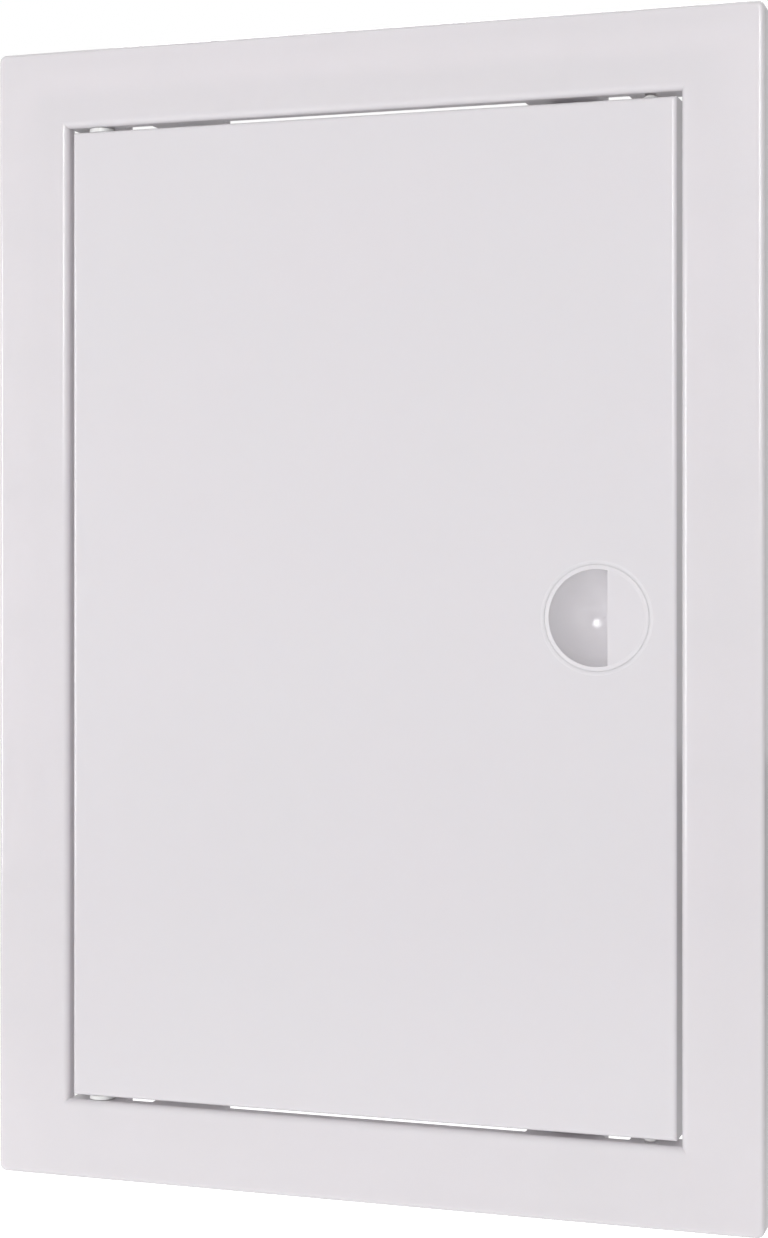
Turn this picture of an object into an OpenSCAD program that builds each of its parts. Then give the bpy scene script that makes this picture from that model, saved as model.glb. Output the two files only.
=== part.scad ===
// Access panel: a flanged frame that sits in a wall or ceiling cut-out, and a
// flush door that turns on two pins and is opened by a round finger pull.
// X is to the right, Z is up and Y points into the wall. The origin is the
// middle of the opening, on the plane of the wall.

/* [Cut-out] */
// Width of the cut-out that the panel is made for
cutout_w = 200; // [150:5:400]
// Height of the cut-out
cutout_h = 300; // [200:5:600]
// Space between the collar and each side of the cut-out
cutout_play = 2; // [1:0.5:4]

/* [Frame face] */
// How far the frame's face overlaps the cut-out on each side
overlap = 9; // [6:0.5:20]
// How far the frame stands in front of the wall
frame_depth = 7; // [6:0.5:9]
// Thickness of the frame's flat face
face_t = 2.4; // [2:0.1:3]
// Thickness of the wall round the frame's outer edge
edge_wall = 1.8; // [1.4:0.1:1.9]
// Rounding of the outer front edge
edge_r = 1.2; // [0.8:0.1:1.8]
// Radius of the four outer corners
corner_r = 2; // [1.9:0.1:5]

/* [Opening] */
// Distance from the collar's outside to the opening at the sides
side_inset = 10.5; // [7:0.1:14]
// Distance from the collar's outside to the opening at the top and bottom
end_inset = 10.9; // [9:0.1:14]
// Thickness of the rim round the opening
rim_t = 2.2; // [2:0.1:2.6]
// Rounding of the rim's front edge
rim_r = 1.8; // [0.8:0.1:1.8]
// Depth of the rim behind the front face
rim_depth = 4.5; // [3.5:0.5:6]

/* [Collar] */
// Thickness of the collar
collar_t = 1.8; // [1.4:0.1:2.4]
// Radius of the collar's outer corners
collar_r = 4; // [3:0.5:8]
// How far the collar reaches behind the face of the wall
collar_reach = 16; // [10:1:30]

/* [Tongues and tabs] */
// Width of the tongues that hold the hinge pins, from the corner of the opening
hinge_tongue_w = 15.9; // [13.9:0.2:17.1]
// Width of the tongues that the catch studs snap under, from the corner of the opening
catch_tongue_w = 14.6; // [12:0.2:16]
// Thickness of the tongues and tabs
tongue_t = 2; // [1.6:0.1:2.6]
// Depth of the tongues and tabs behind the front face
tongue_depth = 9.4; // [9.2:0.2:14]
// Width of the slot beside each hinge tongue
hinge_slot_w = 8.2; // [4:0.2:10]
// Width of the slot beside each catch tongue
catch_slot_w = 6.6; // [4:0.2:10]
// Width of each tab between slot and middle notch
tab_w = 21.6; // [12:0.2:28]

/* [Stiffening] */
// Thickness of the ribs behind the frame
rib_t = 1.4; // [1:0.1:2]
// How far the ribs stay back from the wall
rib_setback = 0.8; // [0.4:0.1:2]
// Ribs along each upright side
side_ribs = 7; // [3:1:9]
// Ribs along the top and along the bottom
end_ribs = 4; // [2:2:6]

/* [Door stop] */
// Width of the stops behind the tabs on the free side
stop_w = 12; // [6:1:12]
// How far the stops reach over the door's skirt
stop_lap = 0.6; // [0.4:0.1:1.2]
// Thickness of the stops
stop_t = 1.8; // [1.4:0.1:2.4]
// Space between the closed door and the stops
stop_gap = 0.2; // [0.1:0.1:0.5]

/* [Door] */
// Gap between door and frame at each side
side_gap = 1.4; // [1.2:0.1:3]
// Gap between door and frame at the top and bottom
end_gap = 1.3; // [1:0.1:2]
// How far the door's face lies behind the frame's face
door_recess = 0.7; // [0:0.1:1]
// Thickness of the door's face
door_t = 2.2; // [1.8:0.1:3]
// Depth of the door with its skirt
door_depth = 14; // [11:0.5:16]
// Thickness of the door's skirt
skirt_t = 1.6; // [1.2:0.1:2.2]
// Rounding of the door's front edge
door_r = 1; // [0.3:0.1:1.2]
// Height of the ribs behind the door
door_rib_h = 3.6; // [2:0.2:4.2]
// Ribs across the door
door_rows = 4; // [2:2:6]
// Ribs up the door
door_columns = 2; // [2:1:3]

/* [Hinge] */
// Distance from the door's edge to the hinge axis
hinge_inset = 7.3; // [6.6:0.1:8]
// Thickness of the frame's face in front of the hinge sockets
hinge_skin = 1.9; // [1.9:0.1:2.4]
// Diameter of the pins where they turn in the frame
pin_d = 5.2; // [4.6:0.1:6]
// Diameter of the pins' shoulders in the gap between door and frame
shoulder_d = 7.2; // [6.6:0.1:7.6]
// Diameter of the pins' shanks in the door
shank_d = 4; // [3:0.1:4.2]
// Length of the pins' shanks
shank_len = 12; // [8:0.5:20]
// How far the pins reach into the frame
pin_reach = 4; // [3:0.5:6]
// Radial clearance of pins and other round fits
fit = 0.05; // [0.02:0.01:0.1]
// Clearance at the end of the pins and above their shoulders
end_play = 0.2; // [0.1:0.1:0.5]

/* [Catch] */
// Depth of the catch studs behind the frame's face
catch_depth = 3.6; // [3.5:0.1:4.4]
// Diameter of the catch studs' heads
stud_d = 4.4; // [4:0.1:5.6]
// Diameter of the studs' shanks
stud_shank_d = 3.2; // [2.4:0.1:3.6]
// Length of the studs' shanks
stud_shank_len = 9; // [6:0.5:14]
// Space between the studs' crowns and the rim
stud_gap = 0.15; // [0.1:0.05:0.4]
// Diameter of the blind hole that each stud snaps under
catch_hole_d = 3.2; // [2:0.1:3.2]
// Depth of the blind hole that each stud snaps under
catch_hole_depth = 0.6; // [0.4:0.1:1.2]

/* [Finger pull] */
// Distance from the door's edge to the middle of the pull
pull_inset = 21.2; // [20:0.2:30]
// Diameter of the opening inside the groove
pull_d = 25.8; // [22:0.2:30]
// Width of the groove round the pull
groove_w = 2.1; // [1.2:0.1:2.6]
// Depth of the groove
groove_depth = 0.15; // [0.1:0.05:0.4]
// Depth of the dish behind the door's face
dish_depth = 10; // [8:0.2:10.4]
// Distance from the middle of the pull to the cover's straight edge
cover_offset = 3; // [0:0.2:6]
// Thickness of the half-moon cover
cover_t = 1.4; // [1:0.1:1.8]
// Thickness of the bezel's sleeve at its front
sleeve_t = 1.1; // [0.9:0.1:1.6]
// Width of the flange that holds the bezel behind the door's face
flange_w = 1.6; // [1:0.1:2]
// Thickness of the bezel's flange
flange_t = 1.2; // [0.8:0.1:2]
// Thickness of the cup
cup_t = 1.4; // [1:0.1:2]

/* [Hidden] */
$fn = 72;

abs_white = [0.88, 0.87, 0.88];
abs_natural = [0.93, 0.93, 0.92];
acetal_white = [0.95, 0.95, 0.94];

// Extra length that carries a cutting tool clear of the surface it cuts
over = 1;
// Chamfer on the ends of pins and studs
nose = 0.4;
// Wall round a pin, stud or socket
boss_wall = 2;

frame_w = cutout_w + 2 * overlap;
frame_h = cutout_h + 2 * overlap;
collar_w = cutout_w - 2 * cutout_play;
collar_h = cutout_h - 2 * cutout_play;
opening_w = collar_w - 2 * side_inset;
opening_h = collar_h - 2 * end_inset;

front_y = -frame_depth;
face_back_y = front_y + face_t;

door_w = opening_w - 2 * side_gap;
door_h = opening_h - 2 * end_gap;
door_y = front_y + door_recess;
door_back_y = door_y + door_t;
stop_y = door_y + door_depth + stop_gap;

socket_r = pin_d / 2 + fit;
socket_depth = pin_reach + end_play;
pivot_x = door_w / 2 - hinge_inset;
pivot_y = front_y + hinge_skin + socket_r;
catch_y = front_y + catch_depth;

hinge_tab_x = opening_w / 2 - hinge_tongue_w - hinge_slot_w - tab_w / 2;
catch_tab_x = opening_w / 2 - catch_tongue_w - catch_slot_w - tab_w / 2;

pull_x = door_w / 2 - pull_inset;
pull_r = pull_d / 2;
sleeve_r = pull_r + sleeve_t;
flange_r = sleeve_r + flange_w;
bezel_len = door_t + flange_t;
groove_arc_r = (pow(groove_w / 2, 2) + pow(groove_depth, 2)) / (2 * groove_depth);
dish_r = (pow(pull_r, 2) + pow(dish_depth, 2)) / (2 * dish_depth);
dish_mid = dish_r - dish_depth;
cup_r = flange_r + fit + cup_t;

// Stands an outline drawn in X and Z upright, from y0 back to y1
module along_y(y0, y1) {
    translate([0, y1, 0]) rotate([90, 0, 0]) linear_extrude(y1 - y0) children();
}

// Rectangle with round corners, about the origin
module rounded_rect(w, h, r) {
    square([w - 2 * r, h], center = true);
    square([w, h - 2 * r], center = true);
    for (x = [-1, 1], z = [-1, 1])
        translate([x * (w / 2 - r), z * (h / 2 - r)]) circle(r);
}

// Turns a piece drawn outwards along +X to a side: 0 right, 1 top, 2 left, 3 bottom
module on_side(side, distance) {
    rotate([0, -90 * side, 0]) translate([distance, 0, 0]) children();
}

// What a front corner at the origin loses to a rounding, with the piece towards +X and +Y
module rounding_cut(r) {
    difference() {
        translate([-over, -over]) square(r + over);
        translate([r, r]) circle(r);
    }
}

// One side of a mitred ring. Its side is len long at x = 0, and it lies from x0 to x1
module mitred_bar(len, x0, x1, depth, r) {
    outside = x1 > 0;
    intersection() {
        linear_extrude(len + 2 * (x1 - x0), center = true)
            difference() {
                translate([x0, 0]) square([x1 - x0, depth]);
                mirror([outside ? 0 : 1, 0]) rounding_cut(r);
            }
        along_y(0, depth)
            polygon([[x0, -len / 2 - x0], [x1, -len / 2 - x1], [x1, len / 2 + x1], [x0, len / 2 + x0]]);
    }
}

// Places children at the top and, mirrored, at the bottom
module both_ends() {
    for (end = [0, 1]) mirror([0, 0, end]) children();
}

// Section of the frame's outer edge: face, rounding and edge wall
module edge_profile() {
    difference() {
        union() {
            square([corner_r, face_t]);
            translate([corner_r - edge_wall, 0]) square([edge_wall, frame_depth]);
        }
        translate([corner_r, 0]) mirror([1, 0]) rounding_cut(edge_r);
    }
}

// Outer edge, as four straight lengths and four turned corners
module outer_edge() {
    half_w = frame_w / 2 - corner_r;
    half_h = frame_h / 2 - corner_r;
    translate([0, front_y, 0]) {
        for (side = [0 : 3]) {
            upright = side % 2 == 0;
            on_side(side, upright ? half_w : half_h)
                linear_extrude(2 * (upright ? half_h : half_w), center = true) edge_profile();
        }
        for (x = [0, 1], z = [0, 1])
            mirror([x, 0, 0]) mirror([0, 0, z]) translate([half_w, 0, -half_h])
                rotate([-90, 0, 0]) rotate_extrude(angle = 90) edge_profile();
    }
}

// Flat face between the outer edge and the rim of the opening
module face_ring() {
    along_y(front_y, face_back_y) difference() {
        square([frame_w - 2 * corner_r, frame_h - 2 * corner_r], center = true);
        square([opening_w + 2 * rim_t, opening_h + 2 * rim_t], center = true);
    }
}

// Rim round the opening
module opening_rim() {
    translate([0, front_y, 0])
        for (side = [0 : 3]) {
            upright = side % 2 == 0;
            on_side(side, (upright ? opening_w : opening_h) / 2)
                mitred_bar(upright ? opening_h : opening_w, 0, rim_t, rim_depth, rim_r);
        }
}

// Collar that enters the cut-out
module collar() {
    along_y(face_back_y, collar_reach) difference() {
        rounded_rect(collar_w, collar_h, collar_r);
        rounded_rect(collar_w - 2 * collar_t, collar_h - 2 * collar_t, collar_r - collar_t);
    }
}

// Wall that carries on from the rim at the top, w wide about x
module end_wall(x, w) {
    along_y(face_back_y, front_y + tongue_depth)
        translate([x - w / 2, opening_h / 2]) square([w, tongue_t]);
}

// Round boss about (x, y) standing on the wall at z, kept behind the middle of the face
module boss(x, y, z, r, len, face_mid_y) {
    translate([0, 0, z]) linear_extrude(len) intersection() {
        translate([x, y]) circle(r);
        translate([x - r, face_mid_y]) square([2 * r, y - face_mid_y + r]);
    }
}

// Tongues, tabs and hinge socket at the top of the opening, and a rib behind each tab
module end_walls() {
    end_wall((hinge_tongue_w - opening_w) / 2, hinge_tongue_w);
    end_wall((opening_w - catch_tongue_w) / 2, catch_tongue_w);
    boss(-pivot_x, pivot_y, opening_h / 2, socket_r + boss_wall, socket_depth + boss_wall,
         (front_y + face_back_y) / 2);
    for (x = [-hinge_tab_x, catch_tab_x]) {
        end_wall(x, tab_w);
        translate([x - rib_t / 2, face_back_y, opening_h / 2 + tongue_t])
            cube([rib_t, -rib_setback - face_back_y, end_inset - tongue_t - collar_t]);
    }
}

// Rib behind the face, from one distance to another, at a place along a side
module face_rib(side, place, from, to) {
    on_side(side, 0) translate([from, face_back_y, place - rib_t / 2])
        cube([to - from, -rib_setback - face_back_y, rib_t]);
}

// Ribs from the edge wall to the collar all round, and on to the rim at the sides
module face_ribs() {
    for (side = [0, 2], i = [1 : side_ribs]) {
        place = collar_h * (i / (side_ribs + 1) - 0.5);
        face_rib(side, place, collar_w / 2, frame_w / 2 - edge_wall);
        face_rib(side, place, opening_w / 2 + rim_t, collar_w / 2 - collar_t);
    }
    for (side = [1, 3], i = [1 : end_ribs]) {
        place = collar_w * (i / (end_ribs + 1) - 0.5);
        face_rib(side, place, collar_h / 2, frame_h / 2 - edge_wall);
    }
}

// Lug on the collar at the free side, which the closed door's skirt meets
module door_stop() {
    lug_z = door_h / 2 - stop_lap;
    translate([catch_tab_x - stop_w / 2, stop_y, lug_z])
        cube([stop_w, stop_t, (collar_h - collar_t) / 2 - lug_z]);
}

module frame() {
    color(abs_white) difference() {
        union() {
            outer_edge();
            face_ring();
            opening_rim();
            collar();
            both_ends() {
                end_walls();
                door_stop();
            }
            face_ribs();
        }
        both_ends() {
            translate([-pivot_x, pivot_y, opening_h / 2 - over])
                cylinder(r = socket_r, h = socket_depth + over);
            translate([pivot_x, catch_y, opening_h / 2 - over])
                cylinder(d = catch_hole_d, h = catch_hole_depth + over);
        }
    }
}

// Skirt of the door with its rounded front edge
module door_skirt() {
    translate([0, door_y, 0])
        for (side = [0 : 3]) {
            upright = side % 2 == 0;
            on_side(side, (upright ? door_w : door_h) / 2)
                mitred_bar(upright ? door_h : door_w, -skirt_t, 0, door_depth, door_r);
        }
}

// Stiffening ribs behind the door's face, kept clear of the cup
module door_ribs() {
    inner_w = door_w - 2 * skirt_t;
    inner_h = door_h - 2 * skirt_t;
    along_y(door_back_y, door_back_y + door_rib_h) difference() {
        union() {
            for (i = [1 : door_rows])
                translate([0, inner_h * (i / (door_rows + 1) - 0.5)])
                    square([inner_w, rib_t], center = true);
            for (i = [1 : door_columns])
                translate([inner_w * (i / (door_columns + 1) - 0.5), 0])
                    square([rib_t, inner_h], center = true);
        }
        translate([pull_x, 0]) circle(cup_r + 2 * fit);
    }
}

// Boss inside the top of the door for a shank of diameter d and length len
module shank_boss(x, y, d, len) {
    boss(x, y, door_h / 2 - len - boss_wall, d / 2 + fit + boss_wall, len + boss_wall - skirt_t,
         (door_y + door_back_y) / 2);
}

module shank_bore(x, y, d, len) {
    translate([x, y, door_h / 2 - len - end_play])
        cylinder(r = d / 2 + fit, h = len + end_play + over);
}

module door() {
    color(abs_white) difference() {
        union() {
            door_skirt();
            along_y(door_y, door_back_y)
                square([door_w - 2 * skirt_t, door_h - 2 * skirt_t], center = true);
            door_ribs();
            both_ends() {
                shank_boss(-pivot_x, pivot_y, shank_d, shank_len);
                shank_boss(pivot_x, catch_y, stud_shank_d, stud_shank_len);
            }
        }
        both_ends() {
            shank_bore(-pivot_x, pivot_y, shank_d, shank_len);
            shank_bore(pivot_x, catch_y, stud_shank_d, stud_shank_len);
        }
        along_y(door_y - over, door_back_y + over)
            translate([pull_x, 0]) circle(sleeve_r + fit);
        pull_turned() groove_section();
    }
}

// Turns a profile about the pull's axis. Its y is the distance in front of the door's face
module pull_turned() {
    translate([pull_x, door_y, 0]) rotate([90, 0, 0]) rotate_extrude() children();
}

// Half section of the shallow groove that is shared by the door and the bezel
module groove_section() {
    translate([sleeve_r, groove_arc_r - groove_depth]) circle(groove_arc_r);
}

// Half section of the dish, grown by t, between two distances in front of the door's face
module dish_section(t, back, front) {
    intersection() {
        translate([0, dish_mid]) circle(dish_r + t);
        translate([0, back]) square([dish_r + t, front - back]);
    }
}

// Ring that lines the hole in the door, with its flange and the half-moon finger cover
module pull_bezel() {
    color(abs_white) difference() {
        union() {
            pull_turned() difference() {
                union() {
                    translate([0, -bezel_len]) square([sleeve_r, bezel_len]);
                    translate([0, -bezel_len]) square([flange_r, flange_t]);
                }
                dish_section(0, -bezel_len - over, over);
            }
            along_y(door_y, door_y + cover_t) intersection() {
                translate([pull_x, 0]) circle(pull_r + sleeve_t / 2);
                translate([pull_x + cover_offset, -pull_r]) square([pull_r, pull_d]);
            }
        }
        pull_turned() groove_section();
    }
}

// Cup that closes the dish from behind and wraps round the bezel's flange
module pull_cup() {
    color(abs_natural) pull_turned() difference() {
        union() {
            translate([0, -bezel_len - cup_t]) square([cup_r, cup_t + flange_t]);
            dish_section(cup_t, -dish_depth - cup_t - over, -bezel_len);
        }
        translate([0, -bezel_len]) square([flange_r + fit, flange_t + over]);
        dish_section(0, -dish_depth - over, over);
    }
}

// Shoulder pin: its shank is pressed into the door and its head turns in the frame
module hinge_pin() {
    head_len = end_gap + pin_reach;
    shoulder_h = end_gap - end_play;
    color(acetal_white) translate([-pivot_x, pivot_y, door_h / 2]) rotate_extrude()
        polygon([[0, -shank_len], [shank_d / 2 - nose, -shank_len], [shank_d / 2, nose - shank_len],
                 [shank_d / 2, 0], [shoulder_d / 2, 0], [shoulder_d / 2, shoulder_h],
                 [pin_d / 2, shoulder_h], [pin_d / 2, head_len - nose],
                 [pin_d / 2 - nose, head_len], [0, head_len]]);
}

// Catch stud: a low dome on a shank that is pressed into the door
module catch_stud() {
    head_h = end_gap - stud_gap;
    dome_r = (pow(stud_d / 2, 2) + pow(head_h, 2)) / (2 * head_h);
    color(acetal_white) translate([pivot_x, catch_y, door_h / 2]) rotate_extrude() {
        intersection() {
            translate([0, head_h - dome_r]) circle(dome_r);
            square([stud_d / 2, head_h]);
        }
        polygon([[0, -stud_shank_len], [stud_shank_d / 2 - nose, -stud_shank_len],
                 [stud_shank_d / 2, nose - stud_shank_len], [stud_shank_d / 2, 0], [0, 0]]);
    }
}

module hinge_pin_upper() { hinge_pin(); }
module hinge_pin_lower() { mirror([0, 0, 1]) hinge_pin(); }
module catch_stud_upper() { catch_stud(); }
module catch_stud_lower() { mirror([0, 0, 1]) catch_stud(); }

frame();
door();
pull_bezel();
pull_cup();
hinge_pin_upper();
hinge_pin_lower();
catch_stud_upper();
catch_stud_lower();
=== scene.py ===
import math

import bpy
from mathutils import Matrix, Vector


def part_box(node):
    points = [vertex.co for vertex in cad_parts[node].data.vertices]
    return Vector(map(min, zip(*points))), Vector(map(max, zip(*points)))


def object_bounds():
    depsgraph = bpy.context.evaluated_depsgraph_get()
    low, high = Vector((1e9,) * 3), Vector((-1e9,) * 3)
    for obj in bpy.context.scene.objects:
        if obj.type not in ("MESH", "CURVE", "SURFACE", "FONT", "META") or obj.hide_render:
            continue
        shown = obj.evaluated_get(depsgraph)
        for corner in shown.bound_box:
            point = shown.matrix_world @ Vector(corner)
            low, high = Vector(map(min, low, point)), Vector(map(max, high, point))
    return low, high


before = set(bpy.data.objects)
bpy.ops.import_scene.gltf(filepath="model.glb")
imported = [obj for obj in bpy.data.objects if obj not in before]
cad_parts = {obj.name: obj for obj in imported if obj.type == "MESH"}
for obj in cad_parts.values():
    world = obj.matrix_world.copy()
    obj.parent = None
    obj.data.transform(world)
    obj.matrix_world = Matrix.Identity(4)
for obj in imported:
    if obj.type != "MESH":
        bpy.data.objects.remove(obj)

cad_low, cad_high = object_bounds()

# Frame: one injection moulding in white ABS, with a flat face, a rounded outer edge and a
# ribbed back, bedded in the cut-out by its collar. The mould's fine polish gives an even
# white with a satin sheen, and narrow bright lines along the rounded edges.
mm = 0.001
FRAME_WHITE = "#DDD9DD"
FRAME_TINT = "#DBD8DB"
FRAME_CLOUD_MM = 60
FRAME_GLOW_MM = 3.5
ABS_IOR = 1.53
SATIN_ROUGHNESS = 0.13
# The mould's real grain is finer than a pixel, so it is drawn coarser, as a faint ripple.
SATIN_GRAIN_MM = 1.6
SATIN_DEPTH_MM = 0.003
POLISH_SPREAD = 0.12
GLOW_SHARE = 0.7
GLOW_BY_COLOUR = (1.0, 0.96, 0.92)


def linear(hex_colour):
    """Turns an sRGB hex colour into linear red, green, blue and alpha."""
    parts = [int(hex_colour[i:i + 2], 16) / 255 for i in (1, 3, 5)]
    return [c / 12.92 if c <= 0.04045 else ((c + 0.055) / 1.055) ** 2.4
            for c in parts] + [1]


def add_node(tree, kind, settings=None, links=None):
    """Adds a node. Settings are socket values, or properties for names with a leading dot.
    Links go from (node, socket name) to the named sockets of the new node."""
    node = tree.nodes.new(kind)
    for name, value in (settings or {}).items():
        if str(name).startswith("."):
            setattr(node, name[1:], value)
        else:
            node.inputs[name].default_value = value
    for name, (source, socket) in (links or {}).items():
        tree.links.new(source.outputs[socket], node.inputs[name])
    return node


def moulded_plastic(name, colour, tint, roughness, grain_mm, grain_depth_mm, cloud_mm, ior,
                    glow_mm, matt_ring=None):
    """Moulded plastic: a nearly even colour with faint clouds from the melt's flow, a sheen
    that varies a little with the mould's polish, a fine grain, and light that spreads a short
    way under the surface. A matt ring is a middle, a radius and half a width in mm, and the
    ring's roughness."""
    material = bpy.data.materials.new(name)
    material.use_nodes = True
    tree = material.node_tree
    tree.nodes.clear()
    place = add_node(tree, "ShaderNodeTexCoord")
    clouds = add_node(
        tree, "ShaderNodeTexNoise",
        {"Scale": 1 / (cloud_mm * mm), "Detail": 2.0, "Roughness": 0.5},
        {"Vector": (place, "Object")})
    shade = add_node(
        tree, "ShaderNodeMix",
        {".data_type": "RGBA", "A": linear(colour), "B": linear(tint)},
        {"Factor": (clouds, "Fac")})
    polish = add_node(
        tree, "ShaderNodeMapRange",
        {"To Min": roughness * (1 - POLISH_SPREAD), "To Max": roughness * (1 + POLISH_SPREAD)},
        {"Value": (clouds, "Fac")})
    grain = add_node(
        tree, "ShaderNodeTexNoise",
        {"Scale": 1 / (grain_mm * mm), "Detail": 3.0, "Roughness": 0.6},
        {"Vector": (place, "Object")})
    bump = add_node(
        tree, "ShaderNodeBump",
        {"Strength": 1.0, "Distance": grain_depth_mm * mm},
        {"Height": (grain, "Fac")})
    if matt_ring:
        middle, radius_mm, half_mm, matt = matt_ring
        flat = add_node(
            tree, "ShaderNodeVectorMath", {".operation": "MULTIPLY", 1: (1, 0, 1)},
            {0: (place, "Object")})
        reach = add_node(
            tree, "ShaderNodeVectorMath",
            {".operation": "DISTANCE", 1: (middle[0], 0, middle[2])},
            {0: (flat, "Vector")})
        on_ring = add_node(
            tree, "ShaderNodeMath",
            {".operation": "COMPARE", 1: radius_mm * mm, 2: half_mm * mm},
            {0: (reach, "Value")})
        polish = add_node(
            tree, "ShaderNodeMix", {"B": matt},
            {"Factor": (on_ring, "Value"), "A": (polish, "Result")})
    plastic = add_node(
        tree, "ShaderNodeBsdfPrincipled",
        {"IOR": ior, "Subsurface Weight": GLOW_SHARE, "Subsurface Scale": glow_mm * mm,
         "Subsurface Radius": GLOW_BY_COLOUR},
        {"Base Color": (shade, "Result"), "Roughness": (polish, "Result"),
         "Normal": (bump, "Normal")})
    add_node(tree, "ShaderNodeOutputMaterial", {}, {"Surface": (plastic, "BSDF")})
    return material


def dress(node_name, material):
    """Gives a CAD node its material."""
    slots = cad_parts[node_name].data.materials
    slots.clear()
    slots.append(material)


dress("frame", moulded_plastic(
    "frame_satin_abs", FRAME_WHITE, FRAME_TINT, SATIN_ROUGHNESS, SATIN_GRAIN_MM,
    SATIN_DEPTH_MM, FRAME_CLOUD_MM, ABS_IOR, FRAME_GLOW_MM))

# Door: the second ABS moulding, a shallow tray with ribs and pin bosses behind its face. It
# has the frame's satin finish, so it looks as even and as white. Only the shallow groove
# round the finger pull is matt, so that it shows as a faint line and doesn't shine.
DOOR_WHITE = "#DFDBDF"
DOOR_TINT = "#DDDBDE"
DOOR_CLOUD_MM = 70
DOOR_GLOW_MM = 1.6
GROOVE_RADIUS_MM = 14.0
GROOVE_HALF_MM = 1.15
GROOVE_ROUGHNESS = 0.5
pull_low, pull_high = (Vector(corner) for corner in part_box("pull_bezel"))
pull_groove = ((pull_low + pull_high) / 2, GROOVE_RADIUS_MM, GROOVE_HALF_MM, GROOVE_ROUGHNESS)
dress("door", moulded_plastic(
    "door_satin_abs", DOOR_WHITE, DOOR_TINT, SATIN_ROUGHNESS, SATIN_GRAIN_MM,
    SATIN_DEPTH_MM, DOOR_CLOUD_MM, ABS_IOR, DOOR_GLOW_MM, pull_groove))

# Finger pull: a ring with a half-moon cover that lines the hole in the door, and a cup
# pressed on behind it. Both are ABS from a polished mould, so the dish that they form has a
# soft shade and one small bright glint.
PULL_WHITE = "#E1DDE1"
PULL_ROUGHNESS = 0.12
PULL_GRAIN_MM = 3.0
PULL_DEPTH_MM = 0.002
PULL_CLOUD_MM = 30
PULL_GLOW_MM = 0.2
pull_abs = moulded_plastic(
    "pull_polished_abs", PULL_WHITE, DOOR_TINT, PULL_ROUGHNESS, PULL_GRAIN_MM,
    PULL_DEPTH_MM, PULL_CLOUD_MM, ABS_IOR, PULL_GLOW_MM, pull_groove)
dress("pull_bezel", pull_abs)
dress("pull_cup", pull_abs)

# Hinge pins and catch studs: small acetal mouldings, pressed by their shanks into bosses in
# the door. Acetal is whiter than the ABS and a little see-through, with a waxy sheen.
PIN_WHITE = "#EEEDEC"
PIN_TINT = "#EAE9E8"
PIN_ROUGHNESS = 0.22
PIN_GRAIN_MM = 1.0
PIN_DEPTH_MM = 0.002
PIN_CLOUD_MM = 6
PIN_GLOW_MM = 1.5
ACETAL_IOR = 1.48
pin_acetal = moulded_plastic(
    "pin_acetal", PIN_WHITE, PIN_TINT, PIN_ROUGHNESS, PIN_GRAIN_MM,
    PIN_DEPTH_MM, PIN_CLOUD_MM, ACETAL_IOR, PIN_GLOW_MM)
for pin in ("hinge_pin_upper", "hinge_pin_lower", "catch_stud_upper", "catch_stud_lower"):
    dress(pin, pin_acetal)

# Camera: level and to the right of the panel, as the photograph was taken. Its place is
# measured from the middle of the frame's front face.
IMAGE_H = 1238
FOCAL_PX = 2332.8
HORIZON_PX = 556.7
CAMERA_YAW = math.radians(18.10)
CAMERA_FROM_FACE = Vector((202.1, -598.3, 16.1)) * mm
CLIP_NEAR, CLIP_FAR = 10 * mm, 50000 * mm
SENSOR_MM = 36.0
face_middle = Vector((0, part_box("frame")[0][1], 0))
camera_data = bpy.data.cameras.new("photo_camera")
camera_data.sensor_width = SENSOR_MM
camera_data.lens = FOCAL_PX * SENSOR_MM / IMAGE_H
camera_data.shift_y = (HORIZON_PX - IMAGE_H / 2) / IMAGE_H
camera_data.clip_start = CLIP_NEAR
camera_data.clip_end = CLIP_FAR
camera = bpy.data.objects.new("photo_camera", camera_data)
camera.location = face_middle + CAMERA_FROM_FACE
camera.rotation_euler = (math.pi / 2, 0, CAMERA_YAW)
bpy.context.scene.collection.objects.link(camera)
bpy.context.scene.camera = camera

# Floor: a plain pale studio floor well below the panel, in matt paint. The camera sees it
# glow more with distance, so that it runs into the white with no edge.
FLOOR_DROP = 400 * mm
FLOOR_SIZE = 12000 * mm
FLOOR_WHITE = "#F2F2F2"
FLOOR_ROUGHNESS = 0.9
GLOW_NEAR, GLOW_FAR = 0.36, 0.72
GLOW_START, GLOW_END = 300 * mm, 1200 * mm
PURE_WHITE = (1, 1, 1, 1)
bpy.ops.object.select_all(action="DESELECT")
bpy.ops.mesh.primitive_plane_add(size=FLOOR_SIZE, location=(0, 0, cad_low[2] - FLOOR_DROP))
floor = bpy.context.object
floor.name = "studio_floor"
floor_paint = bpy.data.materials.new("pale_floor_paint")
floor_paint.use_nodes = True
tree = floor_paint.node_tree
tree.nodes.clear()
path = add_node(tree, "ShaderNodeLightPath")
place = add_node(tree, "ShaderNodeTexCoord")
reach = add_node(
    tree, "ShaderNodeVectorMath", {".operation": "LENGTH"}, {0: (place, "Object")})
spread = add_node(
    tree, "ShaderNodeMapRange",
    {".interpolation_type": "SMOOTHSTEP", "From Min": GLOW_START, "From Max": GLOW_END,
     "To Min": GLOW_NEAR, "To Max": GLOW_FAR},
    {"Value": (reach, "Value")})
glow = add_node(
    tree, "ShaderNodeMath", {".operation": "MULTIPLY"},
    {0: (path, "Is Camera Ray"), 1: (spread, "Result")})
paint = add_node(
    tree, "ShaderNodeBsdfPrincipled",
    {"Base Color": linear(FLOOR_WHITE), "Roughness": FLOOR_ROUGHNESS,
     "Emission Color": PURE_WHITE},
    {"Emission Strength": (glow, "Value")})
add_node(tree, "ShaderNodeOutputMaterial", {}, {"Surface": (paint, "BSDF")})
floor.data.materials.append(floor_paint)


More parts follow.
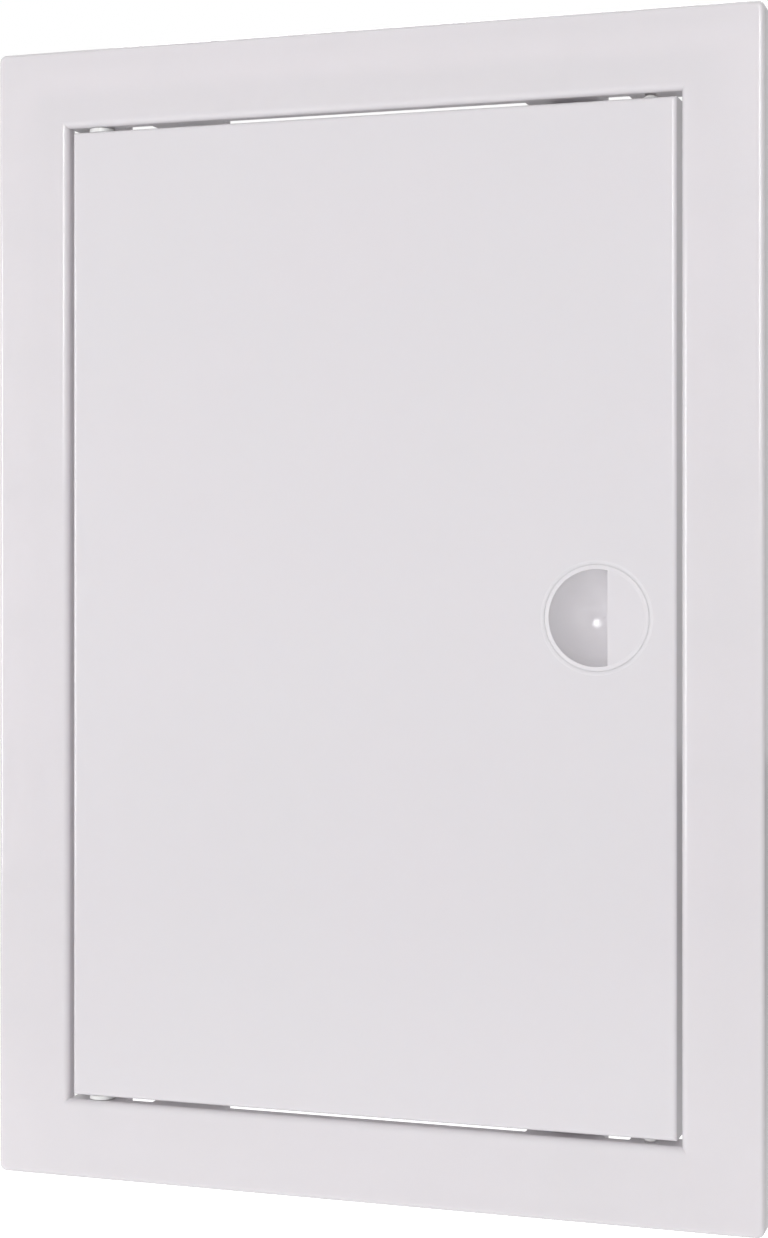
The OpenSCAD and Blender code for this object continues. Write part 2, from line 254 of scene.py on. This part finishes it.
# Lamps: a round soft box above the camera, which makes the glint in the dish, tall ones at
# the left and right for the rounded edges, and a square one high behind for the ribbed back.
def soft_box(name, place_mm, aim_mm, size_mm, watts, shape="RECTANGLE"):
    """Adds an area lamp at a place, aimed at a point, which the camera doesn't see."""
    lamp = bpy.data.lights.new(name, "AREA")
    lamp.shape = shape
    lamp.size, lamp.size_y = size_mm[0] * mm, size_mm[1] * mm
    lamp.energy = watts
    holder = bpy.data.objects.new(name, lamp)
    holder.location = Vector(place_mm) * mm
    aim = Vector(aim_mm) * mm - holder.location
    holder.rotation_euler = aim.to_track_quat("-Z", "Y").to_euler()
    holder.visible_camera = False
    bpy.context.scene.collection.objects.link(holder)


soft_box("front_box", place_mm=(275, -2493, 540), aim_mm=(40, 0, 0),
         size_mm=(860, 860), watts=18.2, shape="ELLIPSE")
soft_box("left_box", place_mm=(-1340, -1486, 10), aim_mm=(0, 0, 0),
         size_mm=(480, 700), watts=12.5)
soft_box("right_box", place_mm=(800, -900, 0), aim_mm=(0, 0, 0),
         size_mm=(600, 1000), watts=1.9)
soft_box("back_box", place_mm=(-200, 1300, 1250), aim_mm=(0, 0, 0),
         size_mm=(1200, 1200), watts=20)

# Surroundings: white where the camera looks past the panel, a little less in the plastic's
# sheen, and a low even light for all else.
AMBIENT = 0.335
SHEEN_LEVEL = 0.58
world = bpy.data.worlds.new("white_studio")
world.use_nodes = True
bpy.context.scene.world = world
tree = world.node_tree
tree.nodes.clear()
path = add_node(tree, "ShaderNodeLightPath")
seen = add_node(
    tree, "ShaderNodeMath", {".operation": "MAXIMUM"},
    {0: (path, "Is Camera Ray"), 1: (path, "Is Transmission Ray")})
sheen = add_node(
    tree, "ShaderNodeMath", {".operation": "MULTIPLY", 1: SHEEN_LEVEL},
    {0: (path, "Is Glossy Ray")})
unseen = add_node(
    tree, "ShaderNodeMath", {".operation": "MAXIMUM", 1: AMBIENT},
    {0: (sheen, "Value")})
level = add_node(
    tree, "ShaderNodeMath", {".operation": "MAXIMUM"},
    {0: (seen, "Value"), 1: (unseen, "Value")})
surround = add_node(
    tree, "ShaderNodeBackground", {"Color": PURE_WHITE}, {"Strength": (level, "Value")})
add_node(tree, "ShaderNodeOutputWorld", {}, {"Surface": (surround, "Background")})
bpy.context.scene.view_settings.view_transform = "Standard"
